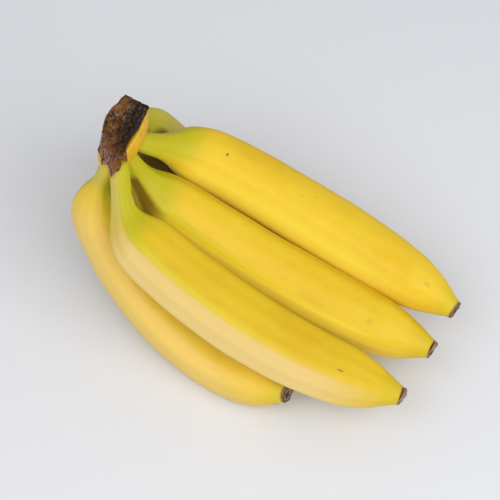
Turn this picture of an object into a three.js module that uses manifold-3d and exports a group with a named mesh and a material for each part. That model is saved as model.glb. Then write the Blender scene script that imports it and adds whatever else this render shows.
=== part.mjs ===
// A small hand of five ripe bananas, still joined at the crown and lying as
// it comes to rest on a table: the two outer fingers bear on the table with
// their bellies, the three inner fingers lie over them, and the cut crown
// stands up at the back. Millimetres, +Z up, +X from the crown to the tips.
import * as THREE from "three";
import { mergeVertices } from "three/addons/utils/BufferGeometryUtils.js";
import Module from "manifold-3d";

const wasm = await Module();
wasm.setup();

// ---- driving dimensions (mm, degrees) ------------------------------------

// Each finger is an arc in its own plane. root: where the neck meets the
// crown. tip: end of the dried blossom stub. lie: turn of the arc's bulge
// about the line from root to tip, 0 = straight down. neck, body: how far
// the neck and the body bend. knee: where the neck bends most, as a share of
// the length. girth: largest mean radius. stalk: how much thicker than usual
// the neck is. ridge: where the first of the five ridges runs, from the
// bulging side. early: how much sooner than usual the body swells.
const FINGERS = [
  { id: 1, root: [-85, -10.2, 107], tip: [32.5, -59.4, 24.6], lie: -9,
    neck: 50, knee: 0.155, body: 81, girth: 17, stalk: 1, ridge: 112, early: 0.02 },
  { id: 2, root: [-77, -12.5, 110], tip: [90.4, -45.4, 34.2], lie: -36,
    neck: 49, knee: 0.135, body: 26, girth: 18.3, stalk: 1.05, ridge: 107, early: 0 },
  { id: 3, root: [-78.5, -0.5, 107.5], tip: [98, -15.5, 38], lie: 10,
    neck: 43, knee: 0.14, body: 29, girth: 18, stalk: 1.4, ridge: 138, early: 0 },
  { id: 4, root: [-75.5, 14, 104.3], tip: [102.5, 10, 41], lie: 52,
    neck: 47, knee: 0.215, body: 18, girth: 18.15, stalk: 1.42, ridge: 125, early: 0 },
  { id: 5, root: [-83.5, 25.5, 108], tip: [38, 12, 28.4], lie: 27,
    neck: 54, knee: 0.14, body: 96, girth: 18, stalk: 1, ridge: 120, early: 0 },
];

// Radius along a finger: share of its length, share of its girth.
const PROFILE = [
  [-0.035, 0.22], [0, 0.29], [0.05, 0.27], [0.09, 0.32], [0.12, 0.44],
  [0.15, 0.65], [0.18, 0.82], [0.21, 0.89], [0.25, 0.925], [0.3, 0.945],
  [0.4, 0.97], [0.5, 0.985], [0.65, 0.975],
  [0.76, 0.925], [0.81, 0.885], [0.86, 0.82], [0.9, 0.7], [0.935, 0.56],
  [0.965, 0.4], [0.985, 0.295], [1, 0.28],
];

const RIDGE_HEIGHT = 0.035; // share of the radius
const SIDES = 20;
const RINGS = 30;
const SUNK = 7; // neck hidden inside the crown
const STUB = 2.8; // length of a dried blossom end
const GAP = 0.3; // air between neighbouring pieces
const SEAT = 0.9; // table level while drawing: bellies are pressed flat on it
const PRESSED = [2, 3, 4, 1, 5]; // each finger keeps its shape against later ones

// The crown: a cushion with a cut, dried top that leans a little backwards.
const CROWN = { x: -83.6, y: 8, half_x: 9.9, half_y: 21.5, low: 104 };
const CUT = { x: -86, z: 119, slope: 0.26, droop_from: -6, droop: 0.06 };
const SCAR_THICK = 3.6;
const SCAR_CENTRE = [-86, 7];

// Torn rim of the dried cut, seen from above, points hanging at the low y end.
const SCAR_RIM = [
  [-93.2, 28.6], [-93.4, 26], [-95.2, 22.1], [-95.6, 19.7], [-96.2, 15.4],
  [-95.2, 9.6], [-92.9, 1.7], [-91.3, -4.4], [-91.2, -7.4], [-89.4, -9.4],
  [-87.4, -11.4], [-87.1, -13], [-86.3, -14.4], [-84.8, -14.5], [-84.6, -13.7],
  [-83.1, -14.2], [-81.5, -15.9], [-80, -18.3], [-78.8, -19.5], [-78, -18.1],
  [-77.3, -16.6], [-75.4, -16.1], [-75.4, -13.4], [-76.2, -11.5], [-74.6, -11.5],
  [-72.8, -11.1], [-73.7, -9.4], [-75.3, -6.7], [-76.7, -4.6], [-76.9, -2.3],
  [-76.7, 0.6], [-76.3, 3.9], [-75.6, 6.8], [-75, 9.9], [-75.1, 13], [-75.3, 16.5],
  [-75, 18.9], [-75.1, 21.8], [-75.3, 25.2], [-79, 26.7], [-83.5, 28.6],
  [-89.8, 31.2], [-91.6, 32],
];

// ---- materials ------------------------------------------------------------

const skin = (colour) => new THREE.MeshStandardMaterial({
  color: colour, roughness: 0.45, metalness: 0,
});
const driedTip = () => new THREE.MeshStandardMaterial({
  color: 0x4a3527, roughness: 0.9, metalness: 0,
});
const crownFlesh = new THREE.MeshStandardMaterial({
  color: 0xd9b33a, roughness: 0.5, metalness: 0,
});
const scarTissue = new THREE.MeshStandardMaterial({
  color: 0x523a30, roughness: 0.9, metalness: 0,
});
const SKINS = [0xe6c560, 0xe8c63c, 0xeecb38, 0xf4cf40, 0xc9bb48];

// ---- small helpers --------------------------------------------------------

const smooth = (a, b, x) => THREE.MathUtils.smoothstep(x, a, b);
const rad = THREE.MathUtils.degToRad;

// Smooth curve through a table of [x, y] rows.
function table(rows, x) {
  const last = rows.length - 1;
  if (x <= rows[0][0]) return rows[0][1];
  if (x >= rows[last][0]) return rows[last][1];
  let i = 0;
  while (rows[i + 1][0] < x) i += 1;
  const slope = (j) => {
    const a = rows[Math.max(j - 1, 0)];
    const b = rows[Math.min(j + 1, last)];
    return (b[1] - a[1]) / (b[0] - a[0]);
  };
  const [x0, y0] = rows[i];
  const [x1, y1] = rows[i + 1];
  const w = x1 - x0;
  const t = (x - x0) / w;
  const h = t * t * (3 - 2 * t);
  return y0 + (y1 - y0) * h + w * t * (1 - t) * (
    slope(i) * (1 - t) - slope(i + 1) * t);
}

// Repeatable unevenness between -1 and 1.
function uneven(a, b) {
  const s = Math.sin(a * 12.9898 + b * 78.233) * 43758.5453;
  return 2 * (s - Math.floor(s)) - 1;
}

// Keeps only the corners of a closed geometry, merged, and moves each one.
function reshape(geometry, move) {
  geometry.deleteAttribute("normal");
  geometry.deleteAttribute("uv");
  const merged = mergeVertices(geometry, 1e-4);
  const position = merged.getAttribute("position");
  const p = new THREE.Vector3();
  for (let i = 0; i < position.count; i += 1) {
    p.fromBufferAttribute(position, i);
    const q = move(p, i);
    position.setXYZ(i, q.x, q.y, q.z);
  }
  merged.computeVertexNormals();
  return merged;
}

function toSolid(geometry) {
  return new wasm.Manifold(new wasm.Mesh({
    numProp: 3,
    vertProperties: new Float32Array(geometry.getAttribute("position").array),
    triVerts: new Uint32Array(geometry.index.array),
  }));
}

function fromSolid(solid) {
  const mesh = solid.getMesh();
  const geometry = new THREE.BufferGeometry();
  geometry.setAttribute(
    "position", new THREE.BufferAttribute(mesh.vertProperties, 3));
  geometry.setIndex(new THREE.BufferAttribute(mesh.triVerts, 1));
  geometry.computeVertexNormals();
  return geometry;
}

// ---- the line a finger follows --------------------------------------------

// Turns with the neck bend near the crown and the body bend after it, and is
// scaled and turned so that it runs from root to tip.
function spineOf(finger) {
  const steps = 240;
  const root = new THREE.Vector3(...finger.root);
  const chord = new THREE.Vector3(...finger.tip).sub(root);
  const along = chord.clone().normalize();
  const neckRate = (s) => Math.exp(-(((s - finger.knee) / 0.075) ** 2));
  const bodyRate = (s) => smooth(0.18, 0.38, s) * (1 - 0.5 * smooth(0.8, 1, s));
  const sum = (rate) => {
    let total = 0;
    for (let i = 0; i < steps; i += 1) total += rate((i + 0.5) / steps);
    return total;
  };
  const neckSum = sum(neckRate);
  const bodySum = sum(bodyRate);

  const turn = [0];
  const flat = [new THREE.Vector2(0, 0)];
  for (let i = 0; i < steps; i += 1) {
    const s = (i + 0.5) / steps;
    const bend = rad(finger.neck) * neckRate(s) / neckSum
      + rad(finger.body) * bodyRate(s) / bodySum;
    const mid = turn[i] + bend / 2;
    turn.push(turn[i] + bend);
    const step = new THREE.Vector2(Math.cos(mid), Math.sin(mid));
    flat.push(flat[i].clone().add(step.divideScalar(steps)));
  }
  const end = flat[steps];
  const length = chord.length() / end.length();
  const lean = Math.atan2(end.y, end.x);

  // The bulging side of the arc, turned about the chord.
  const down = new THREE.Vector3(0, 0, -1);
  down.addScaledVector(along, -down.dot(along)).normalize();
  const bulge = down.applyAxisAngle(along, rad(finger.lie));

  const at = (s) => {
    const k = THREE.MathUtils.clamp(s, 0, 1) * steps;
    const i = Math.min(Math.floor(k), steps - 1);
    const spot = flat[i].clone().lerp(flat[i + 1], k - i);
    const angle = turn[i] + (turn[i + 1] - turn[i]) * (k - i) - lean;
    spot.rotateAround(new THREE.Vector2(0, 0), -lean);
    const tangent = along.clone().multiplyScalar(Math.cos(angle));
    tangent.addScaledVector(bulge, -Math.sin(angle));
    const outward = bulge.clone().multiplyScalar(Math.cos(angle));
    outward.addScaledVector(along, Math.sin(angle));
    const centre = root.clone()
      .addScaledVector(along, spot.x * length)
      .addScaledVector(bulge, -spot.y * length)
      .addScaledVector(tangent, (s - THREE.MathUtils.clamp(s, 0, 1)) * length);
    const side = outward.clone().cross(tangent);
    return { centre, tangent, outward, side };
  };
  return { at, length };
}

// ---- pieces ---------------------------------------------------------------

// A finger is a cylinder laid along its spine, swollen by the profile, with
// five soft ridges, and pressed flat where it bears on the table; grow makes
// it thicker all round.
function fingerGeometry(finger, grow) {
  const spine = spineOf(finger);
  const from = -SUNK / spine.length;
  const to = 1 - STUB / spine.length;
  const stretch = (v) => {
    const eased = v < 0.5 ? v * (0.8 + 0.4 * v) : 1 - (1 - v) * (1.2 - 0.4 * v);
    return from + (to - from) * eased;
  };
  const tube = new THREE.CylinderGeometry(1, 1, 1, SIDES, RINGS, false);
  return reshape(tube, (p) => {
    const s = stretch(p.y + 0.5);
    const frame = spine.at(s);
    const angle = Math.atan2(p.z, p.x) - rad(finger.ridge);
    const soft = smooth(-0.02, 0.06, s) * (1 - smooth(0.9, 1, s));
    const ridge = 1 + RIDGE_HEIGHT * (0.35 + 0.65 * soft)
      * (Math.cos(5 * angle) + 0.25 * Math.cos(10 * angle));
    const stout = 1 + (finger.stalk - 1) * (1 - smooth(0.08, 0.2, s));
    const swell = smooth(0.04, 0.12, s) * (1 - smooth(0.2, 0.45, s));
    const share = table(PROFILE, s + finger.early * swell);
    const radius = finger.girth * stout * share * ridge + grow;
    const q = frame.centre
      .addScaledVector(frame.outward, p.x * radius)
      .addScaledVector(frame.side, p.z * radius);
    if (q.z < SEAT) q.z = SEAT;
    return q;
  });
}

// The dried remains of the flower: a short uneven stub with a hollow face.
function stubGeometry(finger) {
  const spine = spineOf(finger);
  const radius = finger.girth * 0.27;
  const profile = [
    [0, 0], [radius, 0], [radius * 0.97, STUB * 0.5],
    [radius * 0.9, STUB - GAP], [radius * 0.55, STUB - GAP - 0.2],
    [0, STUB - GAP - 1.2],
  ].map(([x, y]) => new THREE.Vector2(x, y));
  const frame = spine.at(1 - (STUB - GAP) / spine.length);
  const lathe = new THREE.LatheGeometry(profile, 15);
  return reshape(lathe, (p) => {
    const angle = Math.atan2(p.z, p.x);
    const rim = Math.hypot(p.x, p.z) / radius;
    const torn = 1 + 0.06 * rim * uneven(Math.round(angle * 15), finger.id);
    const lift = p.y + 0.35 * rim * smooth(0.5, STUB, p.y)
      * uneven(finger.id, Math.round(angle * 15));
    return frame.centre.clone()
      .addScaledVector(frame.outward, p.x * torn)
      .addScaledVector(frame.side, p.z * torn)
      .addScaledVector(frame.tangent, lift);
  });
}

// Height of the cut through the crown, drooping towards the low y end.
function cutHeight(x, y) {
  const over = Math.max(0, CUT.droop_from - y);
  return CUT.z + CUT.slope * (x - CUT.x) - CUT.droop * over ** 1.8;
}

// The cushion that the necks grow out of; grow makes it larger all round.
function crownGeometry(grow) {
  const rings = 6;
  const body = new THREE.CylinderGeometry(1, 1, 1, 32, rings, false);
  return reshape(body, (p) => {
    const v = p.y + 0.5;
    const inset = 1 - 0.28 * (1 - smooth(0, 0.45, v)) - 0.1 * smooth(0.6, 1, v);
    const bulk = Math.hypot(p.x, p.z) > 1e-6 ? 1 : 0;
    const angle = Math.atan2(p.z, p.x);
    const round = (c) => Math.sign(c) * Math.abs(c) ** 0.86;
    const x = CROWN.x + bulk * round(Math.cos(angle)) * (CROWN.half_x + grow) * inset;
    const y = CROWN.y - bulk * round(Math.sin(angle)) * (CROWN.half_y + grow) * inset;
    const top = cutHeight(x, y) - SCAR_THICK - GAP + 2 * grow;
    const low = CROWN.low - grow;
    return new THREE.Vector3(x, y, low + (top - low) * v);
  });
}

// The dried cut: a rough plate over the cushion with torn points that hang
// over the first two necks; grow lowers its underside.
function scarGeometry(grow) {
  const rings = [
    [0, 1], [0.3, 1], [0.6, 1], [0.85, 1], [0.97, 0.75],
    [1, 0.2], [0.9, 0], [0.5, 0], [0, 0],
  ];
  const profile = rings.map(([r, v]) => new THREE.Vector2(r, v)).reverse();
  const lathe = new THREE.LatheGeometry(profile, SCAR_RIM.length);
  const step = 2 * Math.PI / SCAR_RIM.length;
  return reshape(lathe, (p) => {
    const reach = Math.hypot(p.x, p.z);
    const turned = Math.atan2(p.z, p.x) + 4 * Math.PI;
    const i = Math.round(turned / step) % SCAR_RIM.length;
    const rim = SCAR_RIM[SCAR_RIM.length - 1 - i];
    const wide = reach * (1 + grow * 0.03);
    const x = SCAR_CENTRE[0] + (rim[0] - SCAR_CENTRE[0]) * wide;
    const y = SCAR_CENTRE[1] + (rim[1] - SCAR_CENTRE[1]) * wide;
    const thin = 1 - 0.5 * smooth(9, 18, SCAR_CENTRE[1] - y);
    const rough = 0.5 * uneven(i, Math.round(reach * 20)) * smooth(0.2, 1, p.y);
    const hollow = 0.9 * (1 - smooth(0, 0.8, reach)) * p.y;
    const drop = SCAR_THICK * thin * (1 - p.y) + grow * (1 - 2 * p.y);
    return new THREE.Vector3(x, y, cutHeight(x, y) + rough - hollow - drop);
  });
}

// ---- assembly -------------------------------------------------------------

const hand = new THREE.Group();
hand.position.set(0.61, 0.61, -SEAT);

function add(name, geometry, material) {
  const mesh = new THREE.Mesh(geometry, material);
  mesh.name = name;
  hand.add(mesh);
}

// Each neck ends where the crown begins, so it is trimmed by both crown
// pieces made slightly larger.
const crownTool = toSolid(crownGeometry(GAP)).add(toSolid(scarGeometry(GAP)));

const largest = (solid) => solid.decompose().sort(
  (a, b) => b.volume() - a.volume())[0];

// Necks press against each other as they grow: a finger yields to those that
// lie over it.
const yieldsTo = (finger) => FINGERS.filter(
  (other) => PRESSED.indexOf(other.id) < PRESSED.indexOf(finger.id));

FINGERS.forEach((finger, i) => {
  const whole = toSolid(fingerGeometry(finger, 0)).subtract(crownTool);
  const pressed = yieldsTo(finger).reduce(
    (solid, other) => solid.subtract(toSolid(fingerGeometry(other, GAP))), whole);
  add(`banana_${finger.id}`, fromSolid(largest(pressed)), skin(SKINS[i]));
  add(`blossom_end_${finger.id}`, stubGeometry(finger), driedTip());
});
add("crown_pad", crownGeometry(0), crownFlesh);
add("crown_scar", scarGeometry(0), scarTissue);

export default hand;
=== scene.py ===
"""A hand of five ripe bananas, dressed in fine shapes and skins around its packed solids."""

import math

import bpy
from bpy.props import FloatProperty, FloatVectorProperty, PointerProperty
from mathutils import Matrix, Vector, noise


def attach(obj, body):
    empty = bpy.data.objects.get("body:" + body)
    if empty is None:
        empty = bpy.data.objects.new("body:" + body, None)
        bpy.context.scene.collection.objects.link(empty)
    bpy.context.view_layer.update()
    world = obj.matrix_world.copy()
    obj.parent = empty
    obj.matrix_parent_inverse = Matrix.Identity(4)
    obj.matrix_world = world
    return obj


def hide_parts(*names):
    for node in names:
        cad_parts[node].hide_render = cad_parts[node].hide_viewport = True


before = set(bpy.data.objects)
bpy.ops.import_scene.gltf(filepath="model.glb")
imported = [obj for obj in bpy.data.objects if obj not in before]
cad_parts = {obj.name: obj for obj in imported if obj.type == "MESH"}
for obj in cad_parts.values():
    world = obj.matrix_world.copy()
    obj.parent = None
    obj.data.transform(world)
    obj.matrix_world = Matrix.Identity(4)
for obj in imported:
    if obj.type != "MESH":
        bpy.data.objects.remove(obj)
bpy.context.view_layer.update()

bl_info = {
    "name": "Bunch of Bananas",
    "version": (1, 0, 0),
    "blender": (4, 5, 0),
    "location": "3D View > Sidebar > Bananas",
    "description": "Models a lying hand of five bananas with its crown, dried tips and skins",
    "category": "Object",
}

BODY = "root"
FINGER_NUMBERS = range(1, 6)
HAND_SHIFT = Vector((0.00061, 0.00061, -0.0009))  # from drawing place to resting place

# Radius along a finger: share of its length, share of its girth.
PROFILE = (
    (-0.035, 0.22), (0, 0.29), (0.05, 0.27), (0.09, 0.32), (0.12, 0.44), (0.15, 0.65),
    (0.18, 0.82), (0.21, 0.89), (0.25, 0.925), (0.3, 0.945), (0.4, 0.97), (0.5, 0.985),
    (0.65, 0.975), (0.76, 0.925), (0.81, 0.885), (0.86, 0.82), (0.9, 0.7), (0.935, 0.56),
    (0.965, 0.4), (0.985, 0.295), (1, 0.28),
)
RIDGES = 5           # ridges along a finger
TO_RIDGE = 8         # corners from one ridge to the next
SIDES = RIDGES * TO_RIDGE
SHARP = 0.45         # how narrow the ridges are against a plain wave
RINGS = 36           # rings along a finger, before its last few
LAST_RINGS = (0.0022, 0.0009, 0.0003, 0)  # how far the last few lie from its end
PLUG = 0.0008        # how deep the neck's hidden end is dished
SUNK = 0.007         # neck hidden inside the crown
STUB = 0.0028        # length of a dried blossom end
SKIN_OVER = 0.0011   # how far the skin grows over the stub
STUB_NEST = 0.0001   # how far the stub reaches back inside the skin
STUB_SIDES = 30      # corners round a blossom end
LOBE = 6             # corners to each of its lobes
STUB_GIRTH = 0.283   # its radius, as a share of the finger's
STUB_FOOT = 0.9      # radius of its hidden foot, as a share of its own
LINE_POINTS = 90     # points on the line that a finger is bent along
PAINTED_SHEEN_SIDE = Vector((-0.35, -0.78, 0.52))  # where the painted sheen pales the fingers, towards the front lights
ROUNDINGS = 2        # levels of subdivision of the soft pieces
DOUBLES = 1e-6       # vertices closer than this are one

# Marks on the skins, by finger: where on the unbent finger, size along each axis, strength.
MARKS = {
    2: (((0.1637, 0.0082, 0.0137), (0.0030, 0.0006, 0.0009), 0.7),
        ((0.1478, 0.0140, 0.0098), (0.0009, 0.0007, 0.0007), 0.4),
        ((0.1418, 0.0131, 0.0114), (0.0006, 0.0006, 0.0006), 0.3)),
    3: (((0.1659, 0.0117, 0.0105), (0.0022, 0.0007, 0.0009), 0.5),
        ((0.1664, 0.0143, 0.0064), (0.0030, 0.0022, 0.0025), 0.16)),
    4: (((0.0514, 0.0127, -0.0110), (0.0015, 0.0013, 0.0013), 1.0),
        ((0.1002, 0.0131, -0.0122), (0.0050, 0.0008, 0.0012), 0.25),
        ((0.1068, 0.0108, -0.0143), (0.0030, 0.0009, 0.0012), 0.28),
        ((0.1837, 0.0109, -0.0063), (0.0030, 0.0022, 0.0022), 0.2)),
}

# Painted shade in the nooks between the necks, by finger: where in the hand, size along each
# axis.
PAINTED_SHADE_NOOKS = {
    5: (((-0.0740, 0.0290, 0.0620), (0.0240, 0.0100, 0.0260)),
        ((-0.0739, 0.0372, 0.0790), (0.0108, 0.0084, 0.0070))),
}

# Grain of the skin, in waves to the metre along and round a finger.
PATCH_GRAIN = (28, 44, 44)
MOTTLE_GRAIN = (140, 210, 210)
FIBRE_GRAIN = (60, 800, 800)
PORE_GRAIN = (900, 1300, 1300)
SPECK_GRAIN = 170.0

# Painted shade: dark brown on the skin deep between the necks, and in the nooks themselves.
NECK_PAINTED_SHADE = (0.20, 0.100, 0.001)
NOOK_PAINTED_SHADE = (0.095, 0.052, 0.005)

# Specks and marks on the skins, and the skin's dry edge round the blossom end.
SPECK = (0.36, 0.18, 0.04)
MARK_RIM = (0.50, 0.27, 0.03)
MARK_HEART = (0.27, 0.09, 0.012)
DRY_EDGE = (0.30, 0.17, 0.06)

# Tissues of the blossom ends, the cushion and the dried cut.
PALE_CORK = (0.50, 0.37, 0.27)
STRAW_SKIN = (0.66, 0.56, 0.13)
ORANGE_RUST = (0.36, 0.145, 0.028)
# Golden spots on the dried cut: partly golden tissue, partly a painted highlight.
GOLD_SPOT_AND_HIGHLIGHT = (0.36, 0.21, 0.085)
DARK_PATCH = (0.036, 0.014, 0.013)
FIBRE_DARK = (0.085, 0.034, 0.030)
FIBRE_PALE = (0.44, 0.245, 0.175)
FIBRE_RUST = (0.30, 0.14, 0.06)
OCHRE_STREAK = (0.30, 0.17, 0.07)
GREY_STREAK = (0.30, 0.245, 0.18)
CHAR = (0.038, 0.035, 0.037)

# Torn rim of the dried cut seen from above, in millimetres.
SCAR_CENTRE = (-86.0, 7.0)
SCAR_RIM = (
    (-93.2, 28.6), (-93.4, 26), (-95.2, 22.1), (-95.6, 19.7), (-96.2, 15.4), (-95.2, 9.6),
    (-92.9, 1.7), (-91.3, -4.4), (-91.2, -7.4), (-89.4, -9.4), (-87.4, -11.4), (-87.1, -13),
    (-86.3, -14.4), (-84.8, -14.5), (-84.6, -13.7), (-83.1, -14.2), (-81.5, -15.9),
    (-80, -18.3), (-78.8, -19.5), (-78, -18.1), (-77.3, -16.6), (-75.4, -16.1),
    (-75.4, -13.4), (-76.2, -11.5), (-74.6, -11.5), (-72.8, -11.1), (-73.7, -9.4),
    (-75.3, -6.7), (-76.7, -4.6), (-76.9, -2.3), (-76.7, 0.6), (-76.3, 3.9), (-75.6, 6.8),
    (-75, 9.9), (-75.1, 13), (-75.3, 16.5), (-75, 18.9), (-75.1, 21.8), (-75.3, 25.2),
    (-79, 26.7), (-83.5, 28.6), (-89.8, 31.2), (-91.6, 32),
)
SCAR_CORNERS = 320   # corners round the dried cut
SCAR_RINGS = 44      # rings over its top

CROWN_CENTRE = Vector((-0.0836, 0.008, 0))
CROWN_LOW = 0.104    # underside of the crown's cushion
CUSHION_CORNERS = 48
CUSHION_RINGS = 8
CUSHION_UNDER = 0.0003  # how far the cushion stays below the dried crust
SQUARE = 0.86        # below 1, the cushion's outline is squarer than an ellipse

# Stage: a wide floor, a long lens and two soft boxes.
FLOOR_SIZE = 6
LENS, FILM_WIDTH, SIGHT_END = 128.7, 36, 20
CAMERA_PLACE = (0.175916, -0.513051, 0.836808)
CAMERA_RIGHT = (0.94020, 0.34063, 0.0)
CAMERA_UP = (-0.27916, 0.77052, 0.57303)
CAMERA_FORWARD = (-0.19519, 0.53876, -0.81953)
ROOM_LIGHT = 0.46
SOFT_BOXES = (       # name, place, what it faces, size, power
    ("key", (0.92, -0.45, 1.02), (0.02, 0, 0.03), (1.1, 1.1), 9.6),
    ("fill", (-0.1, -0.88, 1.2), (0, 0, 0.03), (1.3, 1.0), 9.0),
)


# ---- settings ------------------------------------------------------------------------

def length(label, text, default, lowest=0.0):
    """A length that the user may change."""
    return FloatProperty(name=label, description=text, default=default, min=lowest, unit="LENGTH",
                         precision=4)


def bend(label, text, degrees):
    """An angle that the user may change."""
    return FloatProperty(name=label, description=text, default=math.radians(degrees),
                         subtype="ANGLE", unit="ROTATION")


def share(label, text, default):
    """A plain number that the user may change."""
    return FloatProperty(name=label, description=text, default=default, min=0.0)


def place(label, text, millimetres):
    """A point that the user may change."""
    return FloatVectorProperty(name=label, description=text, size=3, subtype="TRANSLATION",
                               unit="LENGTH", default=[v / 1000 for v in millimetres])


def colour(label, text, red, green, blue):
    """A colour that the user may change."""
    return FloatVectorProperty(name=label, description=text, size=3, subtype="COLOR",
                               min=0.0, max=1.0, default=(red, green, blue))


def finger_settings(number, root, tip, lie, neck, knee, body, girth, stalk, ridge, early,
                    keen, skin, bloom, wax, edge, lime, vein, slant, fade=0.22):
    """The settings of one finger, as a property group with its own defaults."""
    return type(f"BANANAS_PG_finger_{number}", (bpy.types.PropertyGroup,), {
        "__doc__": f"Shape and colour of finger {number}",
        "__annotations__": {
            "root": place("Root", "Where the neck meets the crown", root),
            "tip": place("Tip", "End of the dried blossom stub", tip),
            "lie": bend("Lie", "Turn of the bulge about the line from root to tip", lie),
            "neck": bend("Neck bend", "How far the neck bends", neck),
            "knee": share("Knee", "Where the neck bends most, as a share of the length", knee),
            "body": bend("Body bend", "How far the body bends", body),
            "girth": length("Girth", "Largest mean radius", girth / 1000, 0.005),
            "stalk": share("Stalk", "Thickness of the neck against the usual one", stalk),
            "ridge": bend("Ridge", "Where the first of five ridges runs", ridge),
            "early": share("Early", "How much sooner than usual the body swells", early),
            "keen": share("Keen", "Height of the ridges as a share of the radius", keen),
            "skin": colour("Skin", "Main colour of the skin", *skin),
            # The next four settings give the painted sheen: the side turned to the front lights
            # is paled, a painted highlight that also lightens shaded lower faces.
            "bloom": share("Bloom", "How much waxy bloom pales the near side", bloom),
            "wax": colour("Wax", "Colour of the skin under its bloom", *wax),
            "bloom_edge": bend("Bloom edge", "Where the bloom ends, from the first ridge", edge),
            "fade": share("Bloom fade", "How softly the bloom ends", fade),
            "lime": share("Lime", "How far the green reaches from the neck", lime),
            "vein": share("Vein", "How green the lines along the ridges are", vein),
            "slant": bend("Slant", "How far the blossom end is cut upwards", slant),
        },
    })


FINGER_SETTINGS = [
    finger_settings(1, (-85, -10.2, 107), (32.5, -59.4, 24.6), -9, 50, 0.155, 81, 17, 1, 112,
                    0.02, keen=0.038, skin=(0.78, 0.53, 0.035), bloom=0.62,
                    wax=(0.93, 0.66, 0.21), edge=-31, lime=0.6, vein=0.1, slant=10),
    finger_settings(2, (-77, -12.5, 110), (90.4, -45.4, 34.2), -36, 49, 0.135, 26, 18.3,
                    1.05, 107, 0, keen=0.056, skin=(0.70, 0.47, 0.008), bloom=0.77,
                    wax=(0.87, 0.65, 0.285), edge=0, lime=1.05, vein=0.8, slant=28),
    finger_settings(3, (-78.5, -0.5, 107.5), (98, -15.5, 38), 10, 43, 0.14, 29, 18, 1.4, 138,
                    0, keen=0.036, skin=(0.76, 0.51, 0.014), bloom=0.95,
                    wax=(1.0, 0.83, 0.09), edge=-3, lime=0.95, vein=1.0, slant=20),
    finger_settings(4, (-75.5, 14, 104.3), (102.5, 10, 41), 52, 47, 0.215, 18, 18.15, 1.42, 125,
                    0, keen=0.024, skin=(0.80, 0.54, 0.020), bloom=0.72,
                    wax=(0.97, 0.83, 0.10), edge=-72, lime=0.75, vein=0.12, slant=0,
                    fade=0.75),
    finger_settings(5, (-83.5, 25.5, 108), (38, 12, 28.4), 27, 54, 0.14, 96, 18, 1, 120,
                    0, keen=0.050, skin=(0.62, 0.50, 0.12), bloom=0.0,
                    wax=(0.80, 0.60, 0.25), edge=0, lime=1.0, vein=0.4, slant=10),
]


class BANANAS_PG_hand(bpy.types.PropertyGroup):
    """Sizes and colours that all fingers and the crown share."""
    unripe: colour("Unripe skin", "Colour of the necks and of the ridges", 0.49, 0.45, 0.006)
    dried: colour("Dried tissue", "Dark brown of the cut and the blossom ends",
                  0.075, 0.040, 0.026)
    rust: colour("Rusty tissue", "Orange brown of the dried tissue", 0.24, 0.086, 0.020)
    cork: colour("Corky tissue", "Grey brown of the blossom ends", 0.31, 0.215, 0.14)
    crown_side: colour("Crown side", "Skin of the crown's cushion", 0.78, 0.455, 0.022)
    crown_x: length("Crown half width", "Half the crown's size across the necks", 0.0106)
    crown_y: length("Crown half length", "Half the crown's size along the row of necks", 0.0215)
    scar_depth: length("Cut depth", "Thickness of the dried tissue", 0.0036)
    floor: colour("Floor", "Colour of the floor", 0.762, 0.775, 0.82)


# ---- shader arithmetic ---------------------------------------------------------------

class Value:
    """One output socket, usable in ordinary sums."""

    def __init__(self, graph, socket):
        self.graph = graph
        self.socket = socket

    def sum(self, operation, *others):
        """A Math node on this value and others."""
        return self.graph.node("ShaderNodeMath", {"operation": operation},
                               dict(enumerate((self,) + others)))

    def __add__(self, other):
        return self.sum("ADD", other)

    def __sub__(self, other):
        return self.sum("SUBTRACT", other)

    def __rsub__(self, other):
        return self.graph.node("ShaderNodeMath", {"operation": "SUBTRACT"}, {0: other, 1: self})

    def __mul__(self, other):
        return self.sum("MULTIPLY", other)

    def __truediv__(self, other):
        return self.sum("DIVIDE", other)

    def __pow__(self, other):
        return self.sum("POWER", other)

    __radd__ = __add__
    __rmul__ = __mul__

    def step(self, low, high):
        """0 below low, 1 above high, smooth between; low above high turns it round."""
        if low > high:
            return 1 - self.step(high, low)
        return self.graph.node("ShaderNodeMapRange", {"interpolation_type": "SMOOTHSTEP"},
                               {"Value": self, "From Min": low, "From Max": high})

    def twin(self, name):
        """Another output of the same node."""
        return Value(self.graph, self.socket.node.outputs[name])


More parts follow.
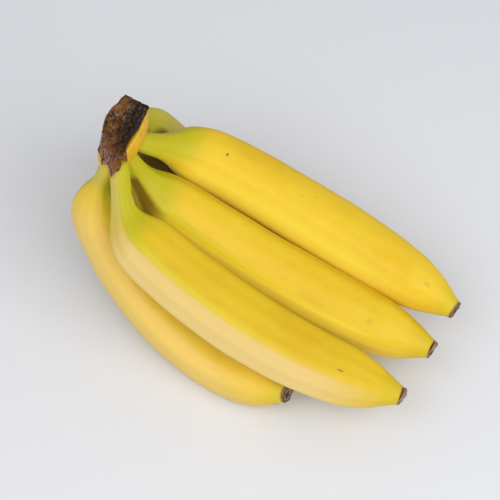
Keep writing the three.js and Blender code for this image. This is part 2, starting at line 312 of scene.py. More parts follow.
class Graph:
    """A material's node tree, grown by short expressions."""

    def __init__(self, name):
        self.material = bpy.data.materials.new(name)
        self.material.use_nodes = True
        self.tree = self.material.node_tree
        self.tree.nodes.clear()

    def node(self, kind, settings=None, inputs=None, out=0):
        """Adds a node: settings first, then its sockets; returns one of its outputs."""
        made = self.tree.nodes.new(kind)
        for key, setting in (settings or {}).items():
            setattr(made, key, setting)
        for key, value in (inputs or {}).items():
            if isinstance(value, Value):
                self.tree.links.new(value.socket, made.inputs[key])
            else:
                made.inputs[key].default_value = value
        return Value(self, made.outputs[out]) if len(made.outputs) else None

    def mix(self, first, second, amount):
        """Mixes two colours by a value or a number."""
        paint = [(*c, 1) if isinstance(c, tuple) else c for c in (first, second)]
        return self.node("ShaderNodeMix", {"data_type": "RGBA"},
                         {0: amount, 6: paint[0], 7: paint[1]}, out=2)

    def stretched(self, vector, scale, shift=(0, 0, 0)):
        """A point scaled and then shifted, axis by axis."""
        return self.node("ShaderNodeVectorMath", {"operation": "MULTIPLY_ADD"},
                         {0: vector, 1: scale, 2: shift})

    def clouds(self, vector, scale, detail=3.0, rough=0.55, warp=0.0):
        """Noise between 0 and 1."""
        return self.node("ShaderNodeTexNoise", {},
                         {"Vector": vector, "Scale": scale, "Detail": detail,
                          "Roughness": rough, "Distortion": warp})

    def attribute(self, name):
        """A point that the mesh carries."""
        return self.node("ShaderNodeAttribute", {"attribute_name": name}, out="Vector")

    def place(self):
        """The place on the piece, in metres."""
        return self.node("ShaderNodeTexCoord", out="Object")

    def blot(self, vector, where, size):
        """1 at a place on the skin, fading to 0 at a size given for each axis."""
        scaled = tuple(1 / v for v in size)
        shift = tuple(-w / v for w, v in zip(where, size))
        apart = self.node("ShaderNodeVectorMath", {"operation": "LENGTH"},
                          {0: self.stretched(vector, scaled, shift)}, out="Value")
        return apart.step(1.0, 0.45)

    def axes(self, vector):
        """The three numbers of a point."""
        parts = self.node("ShaderNodeSeparateXYZ", {}, {0: vector})
        return [parts.twin(axis) for axis in "XYZ"]

    def finish(self, base, rough, bump, distance, **fixed):
        """A Principled surface with a bumped normal; fixed holds plain numbers."""
        normal = self.node("ShaderNodeBump", {}, {"Height": bump, "Distance": distance,
                                                  "Strength": 1.0})
        inputs = {"Base Color": base, "Roughness": rough, "Normal": normal}
        inputs.update({key.replace("_", " "): value for key, value in fixed.items()})
        surface = self.node("ShaderNodeBsdfPrincipled", {}, inputs)
        self.node("ShaderNodeOutputMaterial", {}, {"Surface": surface})
        return self.material


def tint(paint, *factors):
    """A colour with its three parts multiplied, by one factor or by one each."""
    return tuple(min(part * factor, 1) for part, factor in zip(paint, factors * 3))


# ---- modelling helpers ---------------------------------------------------------------

def begin():
    """Object mode with nothing selected."""
    if bpy.context.object and bpy.context.object.mode != "OBJECT":
        bpy.ops.object.mode_set(mode="OBJECT")
    bpy.ops.object.select_all(action="DESELECT")


def choose(piece, wanted):
    """Selects the vertices that the test wants, in edit mode; returns how many."""
    bpy.ops.object.mode_set(mode="OBJECT")
    for part in (piece.data.edges, piece.data.polygons):
        part.foreach_set("select", [False] * len(part))
    picked = 0
    for vertex in piece.data.vertices:
        vertex.select = bool(wanted(vertex.co, vertex.index))
        picked += vertex.select
    bpy.ops.object.mode_set(mode="EDIT")
    bpy.ops.mesh.select_mode(type="VERT")
    return picked


def apply(piece, kind, **settings):
    """Adds a modifier with its settings and applies it."""
    bpy.context.view_layer.objects.active = piece
    modifier = piece.modifiers.new(kind.lower(), kind)
    for key, value in settings.items():
        setattr(modifier, key, value)
    bpy.ops.object.modifier_apply(modifier=modifier.name)


def tidy(piece):
    """Merges doubles, turns the faces outwards and smooths the shading."""
    bpy.ops.object.mode_set(mode="EDIT")
    bpy.ops.mesh.select_all(action="SELECT")
    bpy.ops.mesh.remove_doubles(threshold=DOUBLES)
    bpy.ops.mesh.normals_make_consistent(inside=False)
    bpy.ops.object.mode_set(mode="OBJECT")
    piece.select_set(True)
    bpy.ops.object.shade_smooth_by_angle(angle=math.pi)


def disc(corners, radius):
    """A filled circle at the origin, facing along X."""
    begin()
    bpy.ops.mesh.primitive_circle_add(vertices=corners, radius=radius, fill_type="NGON",
                                      rotation=(0, math.pi / 2, 0), location=(0, 0, 0))
    bpy.ops.object.transform_apply(location=False, rotation=True, scale=False)
    return bpy.context.object


def extrude(x=0.0, z=0.0):
    """Extrudes what is selected along X or Z."""
    bpy.ops.mesh.extrude_region_move(TRANSFORM_OT_translate={"value": (x, 0, z)})


def widen(factor, x=0.0):
    """Scales what is selected away from the X axis."""
    bpy.ops.transform.resize(value=(1, factor, factor), center_override=(x, 0, 0))


def round_off(piece):
    """Smooths a coarse mesh into a soft one."""
    apply(piece, "SUBSURF", levels=ROUNDINGS, render_levels=ROUNDINGS)


def roughen(piece, name, size, depth, strength):
    """Makes a surface uneven by soft procedural clouds."""
    texture = bpy.data.textures.new(name, "CLOUDS")
    texture.noise_scale = size
    texture.noise_depth = depth
    apply(piece, "DISPLACE", texture=texture, strength=strength, mid_level=0.5,
          texture_coords="LOCAL")


def remember(piece, name, shift=Vector(), scale=1.0):
    """Keeps the present shape on the mesh, so that patterns follow it when it is bent."""
    kept = piece.data.attributes.new(name, "FLOAT_VECTOR", "POINT")
    for vertex, row in zip(piece.data.vertices, kept.data):
        row.vector = (vertex.co + shift) / scale


def settle(piece, matrix):
    """Puts a piece in its place and applies it, so the object itself stays at the origin."""
    begin()
    piece.select_set(True)
    bpy.context.view_layer.objects.active = piece
    piece.matrix_world = matrix
    bpy.ops.object.transform_apply(location=True, rotation=True, scale=True)


def dress(piece, name, node, material):
    """Names a finished piece and ties it to its solid, body and finish."""
    piece.name = name
    piece.data.name = name
    piece.data.materials.append(material)
    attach(piece, BODY)
    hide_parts(node)


def smooth(low, high, x):
    """0 at low and 1 at high, smooth between."""
    t = min(max((x - low) / (high - low), 0), 1)
    return t * t * (3 - 2 * t)


def table(rows, x):
    """A smooth curve through rows of position and value."""
    last = len(rows) - 1
    if x <= rows[0][0]:
        return rows[0][1]
    if x >= rows[last][0]:
        return rows[last][1]
    i = 0
    while rows[i + 1][0] < x:
        i += 1

    def slope(j):
        before, after = rows[max(j - 1, 0)], rows[min(j + 1, last)]
        return (after[1] - before[1]) / (after[0] - before[0])

    (x0, y0), (x1, y1) = rows[i], rows[i + 1]
    width = x1 - x0
    t = (x - x0) / width
    return (y0 + (y1 - y0) * t * t * (3 - 2 * t)
            + width * t * (1 - t) * (slope(i) * (1 - t) - slope(i + 1) * t))


# ---- the line a finger follows -------------------------------------------------------

class Spine:
    """A flat arc with a neck bend and a body bend that runs from root to tip."""
    STEPS = 240
    NECK_SPREAD = 0.075  # share of the length over which the neck bends
    BODY_BEND = (0.18, 0.38)  # where the body starts to bend and bends in full

    def __init__(self, finger):
        root = Vector(finger.root) + HAND_SHIFT
        chord = Vector(finger.tip) + HAND_SHIFT - root
        neck_rate = [math.exp(-(((s - finger.knee) / self.NECK_SPREAD) ** 2))
                     for s in self.middles()]
        body_rate = [smooth(*self.BODY_BEND, s) * (1 - 0.5 * smooth(0.8, 1, s))
                     for s in self.middles()]
        turn, spot = [0.0], [Vector((0, 0, 0))]
        for neck, body in zip(neck_rate, body_rate):
            step = finger.neck * neck / sum(neck_rate) + finger.body * body / sum(body_rate)
            middle = turn[-1] + step / 2
            turn.append(turn[-1] + step)
            spot.append(spot[-1] + Vector((math.cos(middle), math.sin(middle), 0)) / self.STEPS)
        self.lean = math.atan2(spot[-1].y, spot[-1].x)
        self.length = chord.length / spot[-1].length
        level = Matrix.Rotation(-self.lean, 3, "Z")
        self.turn = turn
        self.spots = [level @ p * self.length for p in spot]
        along = chord.normalized()
        down = Vector((0, 0, -1))
        down = (down - along * down.dot(along)).normalized()
        bulge = Matrix.Rotation(finger.lie, 3, along) @ down
        frame_axes = Matrix((along, -bulge, bulge.cross(along))).transposed()
        self.matrix = Matrix.Translation(root) @ frame_axes.to_4x4()

    def middles(self):
        """The middle of each step, as a share of the length."""
        return [(i + 0.5) / self.STEPS for i in range(self.STEPS)]

    def at(self, s):
        """Point and heading on the arc's own plane; straight on beyond its ends."""
        inside = min(max(s, 0), 1)
        k = inside * self.STEPS
        i = min(int(k), self.STEPS - 1)
        angle = self.turn[i] + (self.turn[i + 1] - self.turn[i]) * (k - i) - self.lean
        heading = Vector((math.cos(angle), math.sin(angle), 0))
        point = self.spots[i].lerp(self.spots[i + 1], k - i)
        return point + heading * (s - inside) * self.length, heading

    def curve(self, start, end):
        """The arc as a curve object, for the Curve modifier."""
        data = bpy.data.curves.new("finger_line", "CURVE")
        data.dimensions = "2D"
        line = data.splines.new("POLY")
        gaps = LINE_POINTS - 1
        line.points.add(gaps)
        for i, point in enumerate(line.points):
            spot, _ = self.at(start + (end - start) * i / gaps)
            point.co = (*spot, 1)
        made = bpy.data.objects.new("finger_line", data)
        bpy.context.scene.collection.objects.link(made)
        return made


def stations(start, end, reach):
    """Where a finger's rings lie: closer together at both ends, with a tight last few."""
    rings = []
    for i in range(RINGS):
        v = i / RINGS
        v = v * (0.8 + 0.4 * v) if v < 0.5 else 1 - (1 - v) * (1.2 - 0.4 * v)
        rings.append(start + (end - start) * v)
    return rings + [end - back / reach for back in LAST_RINGS]


# ---- fingers -------------------------------------------------------------------------

def straight_finger(finger, spine, start, end):
    """A finger before it is bent: rings extruded along X, then five ridges drawn out."""
    def radius(s):
        stout = 1 + (finger.stalk - 1) * smooth(-0.03, 0.09, s) * (1 - smooth(0.08, 0.2, s))
        swell = smooth(0.04, 0.12, s) * (1 - smooth(0.2, 0.45, s))
        return finger.girth * stout * table(PROFILE, s + finger.early * swell)

    rings = stations(start, end, spine.length)
    origin = start * spine.length
    piece = disc(SIDES, radius(rings[0]))
    piece.rotation_euler = (math.pi - finger.ridge, 0, 0)
    bpy.ops.object.transform_apply(location=False, rotation=True, scale=False)
    bpy.ops.object.mode_set(mode="EDIT")
    for before, after in zip(rings, rings[1:]):
        extrude((after - before) * spine.length)
        widen(radius(after) / radius(before), after * spine.length - origin)
    extrude(-PLUG)
    widen(0.5)

    # The ridges: one line in eight is drawn out, the lines between are pressed in, first
    # over the whole length and then once more between the two ends.
    for offset in range(TO_RIDGE // 2 + 1):
        angle = math.radians(offset * 360 / SIDES)
        pull = finger.keen * (math.cos(RIDGES * angle) + math.cos(2 * RIDGES * angle) * SHARP)
        for amount, low, high in ((0.4, -1, 2), (0.6, 0.03, 0.93)):
            reach = [(low * spine.length - origin), (high * spine.length - origin)]
            choose(piece, lambda co, i: (i % SIDES) % TO_RIDGE in (offset, TO_RIDGE - offset)
                   and reach[0] <= co.x <= reach[1])
            widen(1 + pull * amount)
    bpy.ops.object.mode_set(mode="OBJECT")
    return piece


def finger_piece(number, finger, hand):
    """One finger with its skin, bent along its spine and pressed flat where it rests."""
    spine = Spine(finger)
    start, end = -SUNK / spine.length, 1 - (STUB - SKIN_OVER) / spine.length
    piece = straight_finger(finger, spine, start, end)
    roughen(piece, f"lumps_{number}", size=0.028, depth=2, strength=0.0009)
    round_off(piece)
    remember(piece, "grain", shift=Vector((start * spine.length, 0, 0)))
    line = spine.curve(start, end)
    apply(piece, "CURVE", object=line, deform_axis="POS_X")
    bpy.data.objects.remove(line)
    settle(piece, spine.matrix)
    if choose(piece, lambda co, i: co.z < 0):
        bpy.ops.transform.resize(value=(1, 1, 0), center_override=(0, 0, 0))
    tidy(piece)
    dress(piece, f"finger_{number}", f"banana_{number}",
          finger_skin(number, finger, hand, spine))


def finger_skin(number, finger, hand, spine):
    """Waxy skin: lime green at the neck and along the ridges, pale with bloom on one side."""
    g = Graph(f"banana_skin_{number}")
    grain = g.attribute("grain")
    x, y, z = g.axes(grain)
    along = x / spine.length
    seed = (number * 1.7, number * 0.9, number * 2.3)

    around = z.sum("ARCTAN2", y) + (finger.ridge - math.pi)
    fivefold = (around * RIDGES).sum("COSINE")
    patches = g.clouds(g.stretched(grain, PATCH_GRAIN, seed), 1.0, 3)
    mottle = g.clouds(g.stretched(grain, MOTTLE_GRAIN, seed), 1.0, 3, 0.6)
    fibres = g.clouds(g.stretched(grain, FIBRE_GRAIN, seed), 1.0, 3, 0.6)
    pores = g.clouds(g.stretched(grain, PORE_GRAIN, seed), 1.0, 2, 0.6)

    main = tuple(finger.skin)
    deep = tint(main, 0.96, 0.9, 0.55)
    fresh = tint(main, 1.03, 1.06, 1.7)
    base = g.mix(deep, main, patches.step(0.3, 0.52))
    base = g.mix(base, fresh, patches.step(0.52, 0.75) * 0.6)
    base = g.mix(base, deep, mottle.step(0.5, 0.7) * 0.42)
    base = g.mix(base, fresh, mottle.step(0.48, 0.3) * 0.3)

    # Painted sheen: the side turned to the front lights is paled as far as a ridge, a painted
    # highlight that also lightens the shaded lower faces.
    facing = spine.matrix.to_3x3().transposed() @ PAINTED_SHEEN_SIDE
    flat = math.hypot(facing.y, facing.z)
    toward = (y * (facing.y / flat) + z * (facing.z / flat)) / (y * y + z * z) ** 0.5
    past_edge = (around - finger.bloom_edge).sum("SINE")
    bloom = toward.step(0.1, 0.6) * past_edge.step(-0.06, finger.fade)
    painted_sheen_mask = bloom * (0.8 + 0.2 * mottle) * (along.step(0.99, 0.75) * finger.bloom)
    wax = tuple(finger.wax)
    base = g.mix(base, wax, painted_sheen_mask * along.step(0.08, 0.2))

    # Green where the fruit ripens last: the neck, then thin lines along the ridges' crests,
    # with a wider halo round the first of them, and a little at the tip.
    green = tuple(hand.unripe)
    late = along + (patches - 0.5) * 0.16 + (mottle - 0.5) * 0.03 + painted_sheen_mask * 0.09
    neck = late.step(0.05 + 0.2 * finger.lime, 0.03 + 0.08 * finger.lime)
    # Under the painted sheen the green is paled as well.
    pale_green = tint(wax, 0.7, 0.76, 0.45)
    base = g.mix(base, g.mix(green, pale_green, painted_sheen_mask), neck * 0.92)
    wide = along.step(0.1, 0.26)
    crest = (fivefold - (0.3 + 0.57 * wide)).step(0.0, 0.13) * along.step(0.85, 0.4)
    first = around.sum("COSINE").step(0.5, 0.95)
    uneven = (patches * 0.6 + mottle * 0.4).step(0.35, 0.55)
    crest = crest * (0.5 + 0.5 * uneven) * (0.3 + 0.7 * first)
    halo = fivefold.step(0.2, 1.0) * first * along.step(0.55, 0.15) * (0.32 + 0.4 * uneven)
    base = g.mix(base, green, halo * (1 - painted_sheen_mask) * finger.vein)
    lime_line = g.mix(green, tint(main, 0.94, 1.2, 0.4), wide)
    base = g.mix(base, lime_line, crest * ((0.8 - 0.1 * wide) * finger.vein))
    base = g.mix(base, green, (along + mottle * 0.03).step(0.93, 0.995) * 0.38)

    # Painted shade: deep between the necks the skin is painted brown where shade falls.
    spot = g.place()
    for where, size in PAINTED_SHADE_NOOKS.get(number, ()):
        base = g.mix(base, NOOK_PAINTED_SHADE, g.blot(spot, where, size) * 0.92)
    # Painted shade on the third finger's side where it turns into the crevice beside the second
    # finger's neck.
    if number == 3:
        turned = around + (mottle - 0.5) * 0.1
        painted_nook_shade = turned.step(-0.12, 0.24) * turned.step(1.1, 0.6)
        painted_nook_shade = painted_nook_shade * along.step(0.03, 0.06) * along.step(0.22, 0.13)
        base = g.mix(base, NECK_PAINTED_SHADE, painted_nook_shade * 0.9)

    # Small brown specks, a few larger marks, and a dried edge at the blossom end.
    specks = g.node("ShaderNodeTexVoronoi", {"feature": "F1"},
                    {"Vector": g.stretched(grain, (1, 1, 1), seed), "Scale": SPECK_GRAIN})
    lot = g.axes(specks.twin("Color"))[0]
    dot = specks.step(0.08, 0.03) * lot.step(0.80, 0.82)  # one cell in five has a speck
    base = g.mix(base, SPECK, dot * 0.55)
    mark = None
    for where, size, strength in MARKS.get(number, ()):
        blot = g.blot(grain, where, size) * strength
        mark = blot if mark is None else mark.sum("MAXIMUM", blot)
    if mark is not None:
        mark = mark * (0.5 + mottle).step(0.65, 1.0)
        base = g.mix(base, MARK_RIM, mark.step(0.0, 0.45) * 0.8)
        base = g.mix(base, MARK_HEART, mark.step(0.4, 0.9) * 0.9)
    rim = spine.length - STUB + SKIN_OVER
    edge = (x + pores * 0.0012).step(rim - 0.0006, rim + 0.0007)
    base = g.mix(base, DRY_EDGE, edge * 0.8)

    rough = 0.46 + patches * 0.08 + mottle * 0.05 + edge * 0.3
    relief = fibres * 0.35 + pores * 0.35 + mottle * 0.5 - dot * 0.4
    return g.finish(base, rough, relief, 0.00012, Specular_IOR_Level=0.34,
                    Subsurface_Weight=0.1, Subsurface_Radius=(0.004, 0.0024, 0.0005),
                    Subsurface_Scale=1.0)


class BANANAS_OT_fingers(bpy.types.Operator):
    """Models the five fingers with their necks and skins"""
    bl_idname = "bananas.fingers"
    bl_label = "Fingers"

    def execute(self, context):
        hand = context.scene.banana_hand
        for number in FINGER_NUMBERS:
            finger_piece(number, getattr(context.scene, f"banana_finger_{number}"), hand)
        return {"FINISHED"}


# ---- blossom ends --------------------------------------------------------------------

def blossom_end(number, finger, hand, material):
    """The dried remains of the flower: a short ragged rim round a shrivelled star."""
    spine = Spine(finger)
    start = 1 - (STUB + STUB_NEST) / spine.length
    radius = finger.girth * STUB_GIRTH
    here, size = 0.0, STUB_FOOT
    piece = disc(STUB_SIDES, radius * size)
    bpy.ops.object.mode_set(mode="EDIT")
    # Out along the wall, in over the ragged lip, down into the cup, up over the heart.
    walk = ((0.0006, 0.93), (0.0007, 0.96), (0.0006, 0.97), (0.0002, 0.88), (-0.0002, 0.76),
            (-0.0004, 0.62), (0.0002, 0.46), (0.0002, 0.32), (-0.0002, 0.2), (-0.0002, 0.08))
    for step, share_of_radius in walk:
        here += step
        extrude(step)
        widen(share_of_radius / size, here)
        size = share_of_radius
    # Withered lobes stand out round a dark star, and the lip is torn into points.
    choose(piece, lambda co, i: i % LOBE in (0, 1) and 6 <= i // STUB_SIDES <= 8)
    bpy.ops.transform.translate(value=(0.0005, 0, 0))
    choose(piece, lambda co, i: i % LOBE == 3 and 6 <= i // STUB_SIDES <= 9)
    bpy.ops.transform.translate(value=(-0.0004, 0, 0))
    choose(piece, lambda co, i: i % LOBE == 4 and 3 <= i // STUB_SIDES <= 4)
    widen(1.1)
    bpy.ops.transform.translate(value=(0.0003, 0, 0))
    choose(piece, lambda co, i: 2 <= i // STUB_SIDES)
    bpy.ops.transform.vertex_random(offset=0.00028, uniform=0.6, normal=0.0, seed=number)
    bpy.ops.object.mode_set(mode="OBJECT")
    round_off(piece)
    roughen(piece, f"crumbs_{number}", size=0.0011, depth=3, strength=0.0004)
    remember(piece, "face", scale=radius)
    # Put at the end of the arc and tipped up by its slant.
    spot, heading = spine.at(start)
    turned = Matrix.Translation(spot) @ Matrix.Rotation(
        math.atan2(heading.y, heading.x), 4, "Z")
    place = spine.matrix @ turned
    out = place.to_3x3() @ Vector((1, 0, 0))
    slanted = Matrix.Rotation(-finger.slant, 3, out.cross(Vector((0, 0, 1))))
    turned_up = (slanted @ place.to_3x3()).to_4x4()
    settle(piece, Matrix.Translation(place.to_translation()) @ turned_up)
    tidy(piece)
    dress(piece, f"blossom_{number}", f"blossom_end_{number}", material)


def dried_blossom(hand):
    """Brittle grey-brown tissue with a dark star in the middle and a scorched lip."""
    g = Graph("dried_blossom")
    spot = g.place()
    x, y, z = g.axes(g.attribute("face"))
    out = (y * y + z * z) ** 0.5
    lumps = g.clouds(spot, 620.0, 4, 0.65, 0.4)
    fine = g.clouds(spot, 2100.0, 3, 0.6)
    dried = tuple(hand.dried)
    base = g.mix(tint(dried, 1.6), tuple(hand.cork), lumps.step(0.3, 0.52))
    base = g.mix(base, PALE_CORK, lumps.step(0.55, 0.75) * 0.7)
    lip = (x + lumps * 0.2).step(0.38, 0.5) * out.step(0.68, 0.85)
    base = g.mix(base, tint(dried, 0.5), lip * 0.7)
    points = (z.sum("ARCTAN2", y) * RIDGES).sum("COSINE")
    star = points * 0.14 + 0.3 + lumps * 0.15 - out
    base = g.mix(base, tint(dried, 0.25), star.step(-0.06, 0.1) * 0.85)
    torn = g.clouds(spot, 260.0, 3, 0.6)
    base = g.mix(base, tint(dried, 0.8), torn.step(0.55, 0.68) * 0.7)
    return g.finish(base, 0.75 + fine * 0.2, lumps * 0.6 + fine * 0.4, 0.0004,
                    Specular_IOR_Level=0.25)


class BANANAS_OT_blossom_ends(bpy.types.Operator):
    """Models the dried blossom end on each finger's tip"""
    bl_idname = "bananas.blossom_ends"
    bl_label = "Blossom ends"

    def execute(self, context):
        hand = context.scene.banana_hand
        material = dried_blossom(hand)
        for number in FINGER_NUMBERS:
            finger = getattr(context.scene, f"banana_finger_{number}")
            blossom_end(number, finger, hand, material)
        return {"FINISHED"}


# ---- crown ---------------------------------------------------------------------------

def cut_height(x, y):
    """Height of the cut through the crown, in metres, drooping towards low y."""
    over = max(0.0, -6 - y * 1000)
    return (119 + 0.26 * (x * 1000 + 86) - 0.06 * over ** 1.8) / 1000


def crust_depth(x, y, hand):
    """Thickness of the dried crust, in metres: thin over the necks and along the crescent."""
    flap = 1 - 0.5 * smooth(0.002, 0.011, -y)
    crescent = 1 - 0.68 * smooth(-0.0805, -0.0758, x) * (1 - smooth(0.004, 0.010, -y))
    return hand.scar_depth * flap * crescent


def cushion_piece(hand):
    """The cushion of skin that the necks grow out of."""
    begin()
    bpy.ops.mesh.primitive_circle_add(vertices=CUSHION_CORNERS, radius=1, fill_type="NGON")
    piece = bpy.context.object
    bpy.ops.object.mode_set(mode="EDIT")
    bpy.ops.mesh.flip_normals()
    for _ in range(CUSHION_RINGS):
        extrude(z=1 / CUSHION_RINGS)
    for width in (0.12, 0.3, 0.3):
        bpy.ops.mesh.inset(thickness=width)
    bpy.ops.object.mode_set(mode="OBJECT")
    for vertex in piece.data.vertices:
        v = vertex.co.z
        reach = math.hypot(vertex.co.x, vertex.co.y)
        angle = math.atan2(vertex.co.y, vertex.co.x)
        inset = 1 - 0.26 * (1 - smooth(0, 0.45, v)) - 0.07 * smooth(0.7, 1, v)
        across, row = [reach * math.copysign(abs(c) ** SQUARE, c)
                       for c in (math.cos(angle), math.sin(angle))]
        x = CROWN_CENTRE.x + across * hand.crown_x * inset
        y = CROWN_CENTRE.y + row * hand.crown_y * inset
        top = cut_height(x, y) - crust_depth(x, y, hand) - CUSHION_UNDER
        vertex.co = Vector((x, y, CROWN_LOW + (top - CROWN_LOW) * v)) + HAND_SHIFT
    round_off(piece)
    tidy(piece)
    dress(piece, "cushion", "crown_pad", cushion_skin(hand))


def cushion_skin(hand):
    """Smooth orange-yellow skin, straw coloured on the side away from the fingers."""
    g = Graph("cushion_skin")
    spot = g.place()
    patches = g.clouds(spot, 160.0, 3)
    fibres = g.clouds(g.stretched(spot, (900, 900, 160)), 1.0, 3, 0.6)
    side = tuple(hand.crown_side)
    base = g.mix(tint(side, 0.85), side, patches.step(0.35, 0.6))
    base = g.mix(base, tuple(hand.unripe), fibres.step(0.5, 0.8) * 0.15)
    across = g.axes(spot)[0]
    base = g.mix(base, STRAW_SKIN, across.step(-0.0855, -0.0895) * 0.7)
    return g.finish(base, 0.45 + patches * 0.15, fibres * 0.5 + patches * 0.5, 0.0002,
                    Specular_IOR_Level=0.45)


def scar_rim(count):
    """The torn rim at even steps, with small teeth; distances from the centre in mm."""
    centre = Vector(SCAR_CENTRE)
    corners = [Vector(p) - centre for p in SCAR_RIM]
    lengths = [0.0]
    for a, b in zip(corners, corners[1:] + corners[:1]):
        lengths.append(lengths[-1] + (b - a).length)
    rim = []
    for i in range(count):
        want = lengths[-1] * i / count
        k = max(j for j in range(len(corners)) if lengths[j] <= want)
        t = (want - lengths[k]) / (lengths[k + 1] - lengths[k])
        point = corners[k].lerp(corners[(k + 1) % len(corners)], t)
        tooth = noise.noise(Vector((want * 0.9, 3.1, 0))) * 0.55
        tooth += noise.noise(Vector((want * 2.7, 7.7, 0))) * 0.3
        rim.append(point + point.normalized() * tooth)
    return rim


def scar_relief(x, y, reach):
    """Height of the dried fibres over the cut, in mm."""
    low = smooth(0, -9, y)
    lumps = noise.fractal(Vector((x * 0.2, y * 0.15, 1.3)), 1.0, 2.0, 3) * 1.5
    warp = noise.noise(Vector((x * 0.2, y * 0.2, 9.0))) * 2.2
    strands = 1 - 2 * abs(noise.noise(Vector((x * 0.62 + warp, y * 0.14, 4.2))))
    fine = 1 - 2 * abs(noise.noise(Vector((x * 1.9 + warp * 2, y * 0.35, 6.4))))
    fold = math.exp(-((x + 82.4 + 0.12 * (y + 8)) / 0.7) ** 2) * low
    curl = smooth(0.72, 0.94, reach) * smooth(0, -8, x + 84)
    hollow = -1.1 * (1 - smooth(0, 0.8, reach))
    return (hollow + lumps * (1 - 0.4 * low) + strands * (0.5 + 0.45 * low) + fine * 0.22
            - 1.1 * fold + curl)


def scar_piece(hand):
    """The dried cut: a fibrous crust with torn points over the first two necks."""
    rim = scar_rim(SCAR_CORNERS)
    begin()
    bpy.ops.mesh.primitive_circle_add(vertices=SCAR_CORNERS, radius=1, fill_type="NGON")
    piece = bpy.context.object
    bpy.ops.object.mode_set(mode="EDIT")
    bpy.ops.mesh.flip_normals()
    # Ring upon ring: in under the crust, out and round the rim, then in over its top.
    walk = [(t, 0.0) for t in (0.5, 0.8, 0.95)] + [(0.99, 0.2), (1.0, 0.5), (0.99, 0.8)]
    walk += [(1 - 0.99 * (k / SCAR_RINGS) ** 0.8, 1.0) for k in range(1, SCAR_RINGS + 1)]
    for _ in walk:
        extrude(z=0.01)
    bpy.ops.object.mode_set(mode="OBJECT")
    rows = [(0.1, 0.0)] + walk
    for vertex in piece.data.vertices:
        row, i = divmod(vertex.index, SCAR_CORNERS)
        reach, level = rows[row]
        x = SCAR_CENTRE[0] + rim[i].x * reach
        y = SCAR_CENTRE[1] + rim[i].y * reach
        thick = crust_depth(x / 1000, y / 1000, hand) * 1000
        edge = smooth(0.8, 1.0, reach)
        top = scar_relief(x, y, reach) * (1 - 0.6 * edge) - 0.35 * edge
        z = cut_height(x / 1000, y / 1000) * 1000 + top * level - thick * (1 - level)
        vertex.co = Vector((x, y, z)) / 1000 + HAND_SHIFT
    for first in ((len(rows) - 1) * SCAR_CORNERS, 0):
        choose(piece, lambda co, i: first <= i < first + SCAR_CORNERS)
        bpy.ops.mesh.merge(type="CENTER")
    tidy(piece)
    dress(piece, "dried_cut", "crown_scar", dried_cut(hand))


def dried_cut(hand):
    """Dried fibres: rusty to the back, near black along the crescent, purplish on the flap."""
    g = Graph("dried_cut")
    spot = g.place()
    x, y, z = g.axes(spot)
    broad = g.clouds(spot, 150.0, 4, 0.6, 0.6)
    blotch = g.clouds(g.stretched(spot, (1, 1, 1), (3.1, 1.7, 0.2)), 330.0, 4, 0.6, 0.8)
    strands = g.clouds(g.stretched(spot, (1100, 300, 500)), 1.0, 5, 0.65, 1.2)
    fine = g.clouds(g.stretched(spot, (2400, 1100, 1600)), 1.0, 3, 0.6)
    dried, rust = tuple(hand.dried), tuple(hand.rust)
    black = tint(dried, 0.15)

    # Rusty ground, orange to the back left, with dark patches and a few golden spots: partly
    # golden tissue, partly a painted highlight for the crust's gloss.
    ground = (broad * 0.6 + blotch * 0.4).step(0.38, 0.56)
    base = g.mix(tint(dried, 0.5), rust, ground)
    glow = (y * 0.5 - x + broad * 0.012).step(0.0985, 0.1045)
    base = g.mix(base, ORANGE_RUST, glow * ground * 0.5)
    base = g.mix(base, GOLD_SPOT_AND_HIGHLIGHT, (blotch + fine * 0.4).step(0.74, 0.86) * 0.7)
    dark = (strands * 0.35 + broad * 0.4 + blotch * 0.25).step(0.49, 0.41)
    base = g.mix(base, DARK_PATCH, dark * 0.85)
    # Mauve fibres on the left side and on the part that hangs over the necks.
    flap = (y + broad * 0.016 + (x + 0.086) * 1.3).step(0.008, -0.001)
    fibre = g.mix(FIBRE_DARK, FIBRE_PALE, strands.step(0.42, 0.57))
    fibre = g.mix(fibre, FIBRE_RUST, blotch.step(0.5, 0.64) * 0.5)
    base = g.mix(base, fibre, flap * 0.9)
    # The side next to the crescent has gone black, crossed by ochre and grey streaks.
    scorch = (x + y * 0.12 + broad * 0.022 + blotch * 0.012 - 0.0165).step(-0.0850, -0.0785)
    scorch = scorch * (y + broad * 0.014 + blotch * 0.006 - 0.01).step(-0.010, 0.002)
    base = g.mix(base, black, scorch * 0.93)
    streak = (strands * 0.7 + fine * 0.3).step(0.5, 0.62) * (blotch + 0.1).step(0.42, 0.6)
    ochre = g.mix(OCHRE_STREAK, GREY_STREAK, (y + broad * 0.01).step(0.012, 0.026))
    base = g.mix(base, ochre, streak * (1 - flap * 0.7) * 0.66)
    # A charred lip along the cut's high edge.
    lip = (x + blotch * 0.003 + broad * 0.004).step(-0.0728, -0.0715) * y.step(-0.009, -0.004)
    base = g.mix(base, CHAR, lip * y.step(0.020, 0.006) * 0.75)
    return g.finish(base, 0.6 + fine * 0.3, strands * 0.5 + blotch * 0.3 + fine * 0.2,
                    0.0022, Specular_IOR_Level=0.16)


class BANANAS_OT_cushion(bpy.types.Operator):
    """Models the crown's cushion of skin"""
    bl_idname = "bananas.cushion"
    bl_label = "Crown cushion"

    def execute(self, context):
        cushion_piece(context.scene.banana_hand)
        return {"FINISHED"}


class BANANAS_OT_dried_cut(bpy.types.Operator):
    """Models the dried, torn cut on top of the crown"""
    bl_idname = "bananas.dried_cut"
    bl_label = "Dried cut"

    def execute(self, context):
        scar_piece(context.scene.banana_hand)
        return {"FINISHED"}


# ---- stage ---------------------------------------------------------------------------

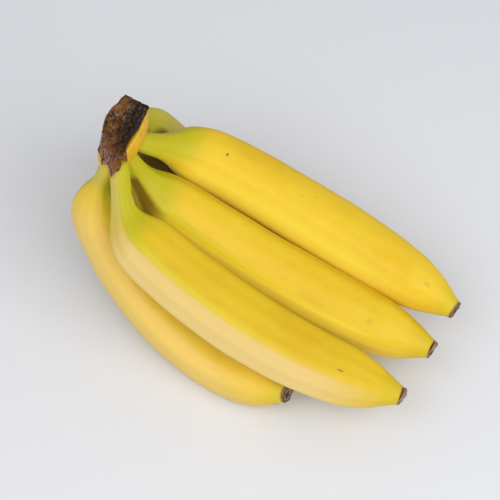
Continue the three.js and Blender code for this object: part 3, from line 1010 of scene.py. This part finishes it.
def area_light(name, spot, aim, size, power):
    """A soft box that faces a point."""
    data = bpy.data.lights.new(name, "AREA")
    data.shape = "RECTANGLE"
    data.size, data.size_y = size
    data.energy = power
    made = bpy.data.objects.new(name, data)
    made.location = spot
    heading = Vector(aim) - Vector(spot)
    made.rotation_euler = heading.to_track_quat("-Z", "Y").to_euler()
    bpy.context.scene.collection.objects.link(made)


def floor_material(hand):
    """Matt pale paper with a faint tooth."""
    g = Graph("floor_paper")
    spot = g.place()
    tooth = g.clouds(spot, 900.0, 3)
    pale = tuple(hand.floor)
    base = g.mix(pale, tint(pale, 0.985), tooth)
    return g.finish(base, 0.8 + tooth * 0.1, tooth, 0.00005, Specular_IOR_Level=0.2)


class BANANAS_OT_stage(bpy.types.Operator):
    """Makes the floor, the soft studio light and the camera"""
    bl_idname = "bananas.stage"
    bl_label = "Stage"

    def execute(self, context):
        scene = context.scene
        begin()
        bpy.ops.mesh.primitive_plane_add(size=FLOOR_SIZE)
        floor = bpy.context.object
        floor.name = "floor"
        floor.data.materials.append(floor_material(scene.banana_hand))

        data = bpy.data.cameras.new("camera")
        data.lens, data.sensor_width, data.clip_end = LENS, FILM_WIDTH, SIGHT_END
        camera = bpy.data.objects.new("camera", data)
        back = -Vector(CAMERA_FORWARD)
        turned = Matrix((CAMERA_RIGHT, CAMERA_UP, back)).transposed().to_4x4()
        camera.matrix_world = Matrix.Translation(CAMERA_PLACE) @ turned
        scene.collection.objects.link(camera)
        scene.camera = camera

        for box in SOFT_BOXES:
            area_light(*box)
        world = bpy.data.worlds.new("studio")
        world.use_nodes = True
        sky = world.node_tree.nodes["Background"].inputs
        sky["Color"].default_value = (1, 1, 1, 1)
        sky["Strength"].default_value = ROOM_LIGHT
        scene.world = world
        scene.view_settings.view_transform = "Standard"
        return {"FINISHED"}


# ---- panel and start -----------------------------------------------------------------

class BANANAS_PT_panel(bpy.types.Panel):
    """Lists the steps that make the hand of bananas"""
    bl_idname = "BANANAS_PT_panel"
    bl_label = "Bunch of Bananas"
    bl_space_type = "VIEW_3D"
    bl_region_type = "UI"
    bl_category = "Bananas"

    def draw(self, context):
        column = self.layout.column()
        for step in STEPS:
            column.operator(step.bl_idname)
        for name in BANANAS_PG_hand.__annotations__:
            column.prop(context.scene.banana_hand, name)
        for number in FINGER_NUMBERS:
            box = column.box()
            box.label(text=f"Finger {number}")
            for name in FINGER_SETTINGS[number - 1].__annotations__:
                box.prop(getattr(context.scene, f"banana_finger_{number}"), name)


STEPS = (BANANAS_OT_fingers, BANANAS_OT_blossom_ends, BANANAS_OT_cushion,
         BANANAS_OT_dried_cut, BANANAS_OT_stage)
CLASSES = (*FINGER_SETTINGS, BANANAS_PG_hand, *STEPS, BANANAS_PT_panel)


def register():
    """Registers the classes and hangs the settings on the scene."""
    for made in CLASSES:
        bpy.utils.register_class(made)
    bpy.types.Scene.banana_hand = PointerProperty(type=BANANAS_PG_hand)
    for number, group in zip(FINGER_NUMBERS, FINGER_SETTINGS):
        setattr(bpy.types.Scene, f"banana_finger_{number}", PointerProperty(type=group))


def unregister():
    """Takes everything that register added away again."""
    for number in FINGER_NUMBERS:
        delattr(bpy.types.Scene, f"banana_finger_{number}")
    del bpy.types.Scene.banana_hand
    for made in reversed(CLASSES):
        bpy.utils.unregister_class(made)


def corners(box):
    """A box as plain lists of numbers."""
    return [[float(v) for v in corner] for corner in box]


def main():
    """Makes every piece in order and notes how large the model came out."""
    register()
    bpy.ops.bananas.fingers()
    bpy.ops.bananas.blossom_ends()
    bpy.ops.bananas.cushion()
    bpy.ops.bananas.dried_cut()
    bpy.ops.bananas.stage()
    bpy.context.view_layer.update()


if __name__ == "__main__":
    main()
